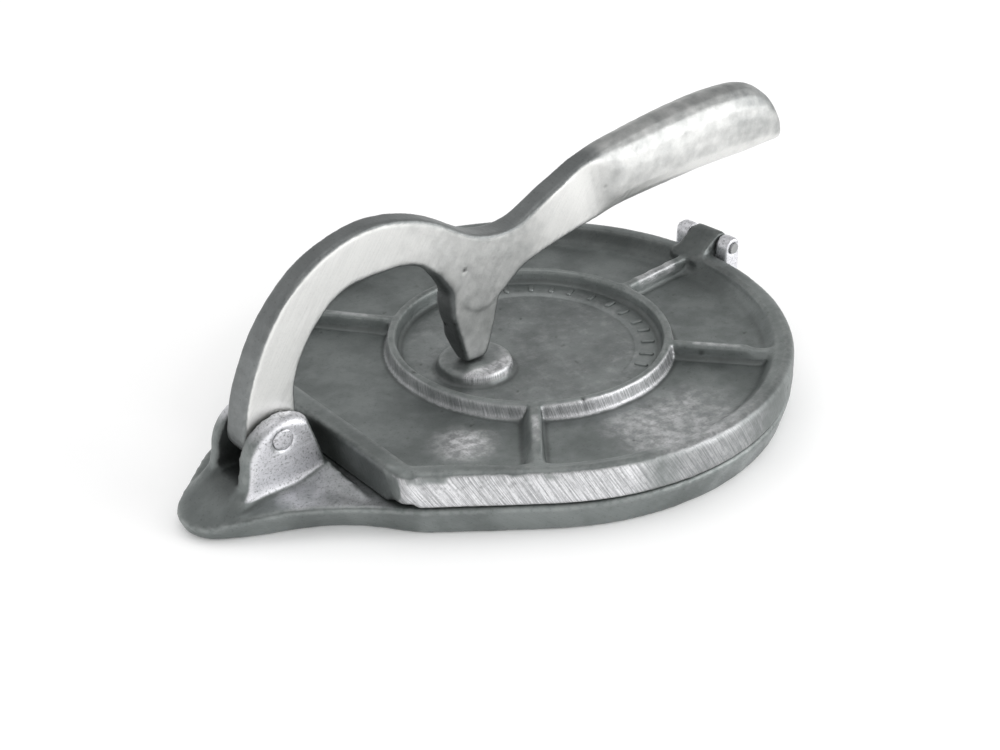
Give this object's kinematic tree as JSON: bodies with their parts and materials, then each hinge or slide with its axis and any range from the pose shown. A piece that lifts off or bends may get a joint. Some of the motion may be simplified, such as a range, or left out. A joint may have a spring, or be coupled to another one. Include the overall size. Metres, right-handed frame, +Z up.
{
  "type": "tortilla press",
  "caption": "Cast aluminium hand press: ribbed upper plate hinged at the back of a tongued lower plate, closed by an arched lever whose foot bears on a boss.",
  "frame": {"origin": "centre of the round lower plate, on the plane it stands on", "axes": "+X along the press from the tongue that carries the lever's pivot towards the rear hinge and the grip, +Z up, +Y across"},
  "size_m": [0.2553, 0.1798, 0.0903],
  "materials": {
    "cast_base": "sand-cast aluminium, fettled",
    "cast_lid": "sand-cast aluminium, rim and ribs ground",
    "ground_lever": "cast aluminium, flat sides ground",
    "pin_metal": "drawn aluminium rod, peened ends"
  },
  "bodies": {
    "base": {"base": "cast_base", "lever_pin": "pin_metal", "hinge_pin": "pin_metal"},
    "lid": {"lid": "cast_lid"},
    "lever": {"lever": "ground_lever"}
  },
  "joints": [
    {"name": "lever_swing", "type": "hinge", "parent": "base", "child": "lever", "pos_m": [-0.1093, 0, 0.0279], "axis": [0, -1, 0], "range_deg": [0, 112]},
    {"name": "lid_hinge", "type": "hinge", "parent": "base", "child": "lid", "pos_m": [0.09423, 0.00941, 0.0252], "axis": [-0.0993, 0.9951, 0], "range_deg": [0, 100]}
  ],
  "couplings": [
    {"joint": "lid_hinge", "follows": "lever_swing", "ratio": 0.34}
  ]
}
